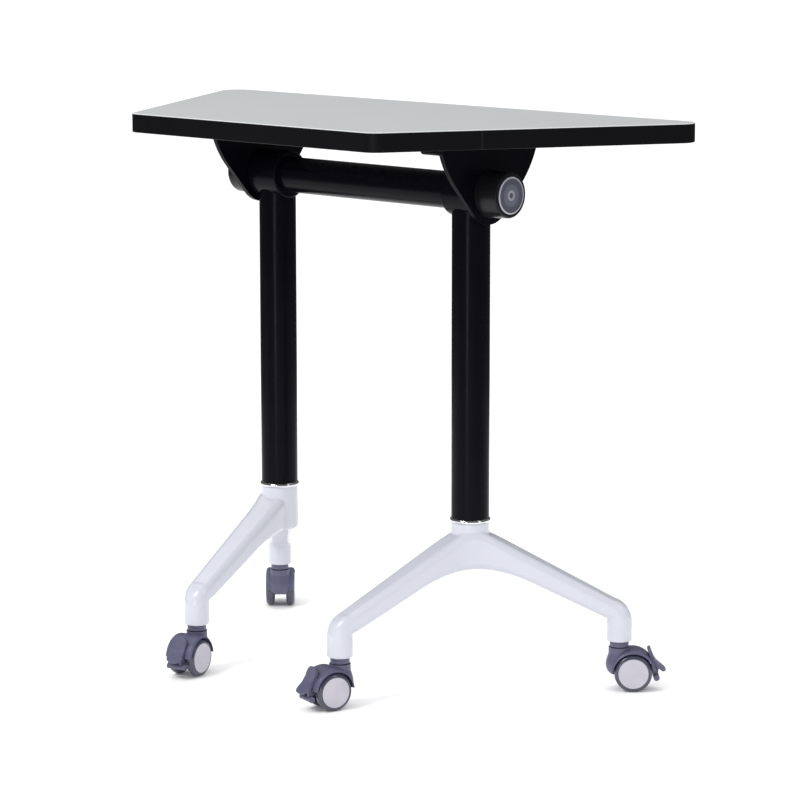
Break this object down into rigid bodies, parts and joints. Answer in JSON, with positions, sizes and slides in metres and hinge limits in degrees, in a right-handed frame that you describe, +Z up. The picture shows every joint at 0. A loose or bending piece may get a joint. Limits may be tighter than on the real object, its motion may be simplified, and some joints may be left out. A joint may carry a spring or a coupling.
{
  "type": "training table",
  "caption": "Trapezoidal flip-top training table: laminate top hinged on a beam between round columns, cast arm feet and braked swivel castors.",
  "frame": {"origin": "on the floor, under the middle of the table top", "axes": "+Z up, +X along the cross beam to the right, -Y towards the short side of the top"},
  "size_m": [0.8444, 0.4446, 0.75],
  "materials": {
    "board": "particle board, covered on every side",
    "grey_laminate": "light grey laminate, satin",
    "backing": "dark grey backing laminate",
    "edge_band": "black plastic edge band",
    "black_steel": "black powder coat",
    "black_casting": "black powder coat on cast aluminium",
    "black_plastic": "black satin plastic",
    "grey_plastic": "mid grey plastic",
    "steel": "zinc plated",
    "bush_plastic": "dark nylon",
    "chrome": "polished chrome",
    "white_casting": "white gloss paint on cast aluminium",
    "castor_plastic": "grey-violet nylon",
    "wheel_plastic": "grey-violet tread",
    "disc_plastic": "light grey nylon"
  },
  "bodies": {
    "frame": {"cross_beam": "black_steel", "left_leg_head": "black_casting", "right_leg_head": "black_casting", "left_column": "black_steel", "right_column": "black_steel", "trim_rings": "chrome", "left_foot": "white_casting", "right_foot": "white_casting", "beam_screws": "steel", "column_nuts": "steel", "foot_bolts": "steel", "castor_sockets": "bush_plastic", "castor_stems": "steel", "castor_collars": "castor_plastic"},
    "top": {"top_board": "board", "top_laminate": "grey_laminate", "backing_laminate": "backing", "edge_band": "edge_band", "left_flip_bracket": "black_steel", "right_flip_bracket": "black_steel", "bracket_screws": "steel", "pivot_bushes": "bush_plastic", "left_hub_cover": "black_plastic", "right_hub_cover": "black_plastic", "cover_screws": "steel"},
    "left_release": {"left_release_button": "grey_plastic", "left_lock_plunger": "steel", "left_lock_spring": "steel"},
    "right_release": {"right_release_button": "grey_plastic", "right_lock_plunger": "steel", "right_lock_spring": "steel"},
    "right_front_castor": {"right_front_castor_hood": "castor_plastic", "right_front_castor_axle": "steel"},
    "right_front_wheel_one": {"right_front_wheel_one": "wheel_plastic", "right_front_wheel_disc_one": "disc_plastic"},
    "right_front_wheel_two": {"right_front_wheel_two": "wheel_plastic", "right_front_wheel_disc_two": "disc_plastic"},
    "right_front_pedal": {"right_front_brake_pedal": "castor_plastic"},
    "right_rear_castor": {"right_rear_castor_hood": "castor_plastic", "right_rear_castor_axle": "steel"},
    "right_rear_wheel_one": {"right_rear_wheel_one": "wheel_plastic", "right_rear_wheel_disc_one": "disc_plastic"},
    "right_rear_wheel_two": {"right_rear_wheel_two": "wheel_plastic", "right_rear_wheel_disc_two": "disc_plastic"},
    "right_rear_pedal": {"right_rear_brake_pedal": "castor_plastic"},
    "left_front_castor": {"left_front_castor_hood": "castor_plastic", "left_front_castor_axle": "steel"},
    "left_front_wheel_one": {"left_front_wheel_one": "wheel_plastic", "left_front_wheel_disc_one": "disc_plastic"},
    "left_front_wheel_two": {"left_front_wheel_two": "wheel_plastic", "left_front_wheel_disc_two": "disc_plastic"},
    "left_front_pedal": {"left_front_brake_pedal": "castor_plastic"},
    "left_rear_castor": {"left_rear_castor_hood": "castor_plastic", "left_rear_castor_axle": "steel"},
    "left_rear_wheel_one": {"left_rear_wheel_one": "wheel_plastic", "left_rear_wheel_disc_one": "disc_plastic"},
    "left_rear_wheel_two": {"left_rear_wheel_two": "wheel_plastic", "left_rear_wheel_disc_two": "disc_plastic"},
    "left_rear_pedal": {"left_rear_brake_pedal": "castor_plastic"}
  },
  "joints": [
    {"name": "top_flip", "type": "hinge", "parent": "frame", "child": "top", "pos_m": [0, 0.033, 0.6565], "axis": [1, 0, 0], "range_deg": [-90, 0]},
    {"name": "left_release_push", "type": "slide", "parent": "frame", "child": "left_release", "axis": [1, 0, 0], "range_m": [0, 0.005], "stiffness_N_per_m": 800, "springref_m": -0.006, "deforming": ["left_lock_spring"]},
    {"name": "right_release_push", "type": "slide", "parent": "frame", "child": "right_release", "axis": [-1, 0, 0], "range_m": [0, 0.005], "stiffness_N_per_m": 800, "springref_m": -0.006, "deforming": ["right_lock_spring"]},
    {"name": "right_front_swivel", "type": "hinge", "parent": "frame", "child": "right_front_castor", "pos_m": [0.12032, -0.15579, 0.06], "axis": [0, 0, 1], "continuous": true},
    {"name": "right_front_wheel_one_spin", "type": "hinge", "parent": "right_front_castor", "child": "right_front_wheel_one", "pos_m": [0.11536, -0.17309, 0.025], "axis": [0.9613, -0.2756, 0], "continuous": true},
    {"name": "right_front_wheel_two_spin", "type": "hinge", "parent": "right_front_castor", "child": "right_front_wheel_two", "pos_m": [0.11536, -0.17309, 0.025], "axis": [0.9613, -0.2756, 0], "continuous": true},
    {"name": "right_front_pedal_press", "type": "hinge", "parent": "right_front_castor", "child": "right_front_pedal", "pos_m": [0.10808, -0.19847, 0.027], "axis": [0.9613, -0.2756, 0], "range_deg": [0, 16]},
    {"name": "right_rear_swivel", "type": "hinge", "parent": "frame", "child": "right_rear_castor", "pos_m": [0.33141, 0.15483, 0.06], "axis": [0, 0, 1], "continuous": true},
    {"name": "right_rear_wheel_one_spin", "type": "hinge", "parent": "right_rear_castor", "child": "right_rear_wheel_one", "pos_m": [0.34473, 0.16694, 0.025], "axis": [-0.673, 0.7396, 0], "continuous": true},
    {"name": "right_rear_wheel_two_spin", "type": "hinge", "parent": "right_rear_castor", "child": "right_rear_wheel_two", "pos_m": [0.34473, 0.16694, 0.025], "axis": [-0.673, 0.7396, 0], "continuous": true},
    {"name": "right_rear_pedal_press", "type": "hinge", "parent": "right_rear_castor", "child": "right_rear_pedal", "pos_m": [0.36425, 0.18471, 0.027], "axis": [-0.673, 0.7396, 0], "range_deg": [0, 16]},
    {"name": "left_front_swivel", "type": "hinge", "parent": "frame", "child": "left_front_castor", "pos_m": [-0.14205, -0.16095, 0.06], "axis": [0, 0, 1], "continuous": true},
    {"name": "left_front_wheel_one_spin", "type": "hinge", "parent": "left_front_castor", "child": "left_front_wheel_one", "pos_m": [-0.138, -0.17849, 0.025], "axis": [0.9744, 0.225, 0], "continuous": true},
    {"name": "left_front_wheel_two_spin", "type": "hinge", "parent": "left_front_castor", "child": "left_front_wheel_two", "pos_m": [-0.138, -0.17849, 0.025], "axis": [0.9744, 0.225, 0], "continuous": true},
    {"name": "left_front_pedal_press", "type": "hinge", "parent": "left_front_castor", "child": "left_front_pedal", "pos_m": [-0.13206, -0.20421, 0.027], "axis": [0.9744, 0.225, 0], "range_deg": [0, 16]},
    {"name": "left_rear_swivel", "type": "hinge", "parent": "frame", "child": "left_rear_castor", "pos_m": [-0.31663, 0.17157, 0.06], "axis": [0, 0, 1], "continuous": true},
    {"name": "left_rear_wheel_one_spin", "type": "hinge", "parent": "left_rear_castor", "child": "left_rear_wheel_one", "pos_m": [-0.32874, 0.18488, 0.025], "axis": [-0.7396, -0.673, 0], "continuous": true},
    {"name": "left_rear_wheel_two_spin", "type": "hinge", "parent": "left_rear_castor", "child": "left_rear_wheel_two", "pos_m": [-0.32874, 0.18488, 0.025], "axis": [-0.7396, -0.673, 0], "continuous": true},
    {"name": "left_rear_pedal_press", "type": "hinge", "parent": "left_rear_castor", "child": "left_rear_pedal", "pos_m": [-0.34651, 0.20441, 0.027], "axis": [-0.7396, -0.673, 0], "range_deg": [0, 16]}
  ]
}
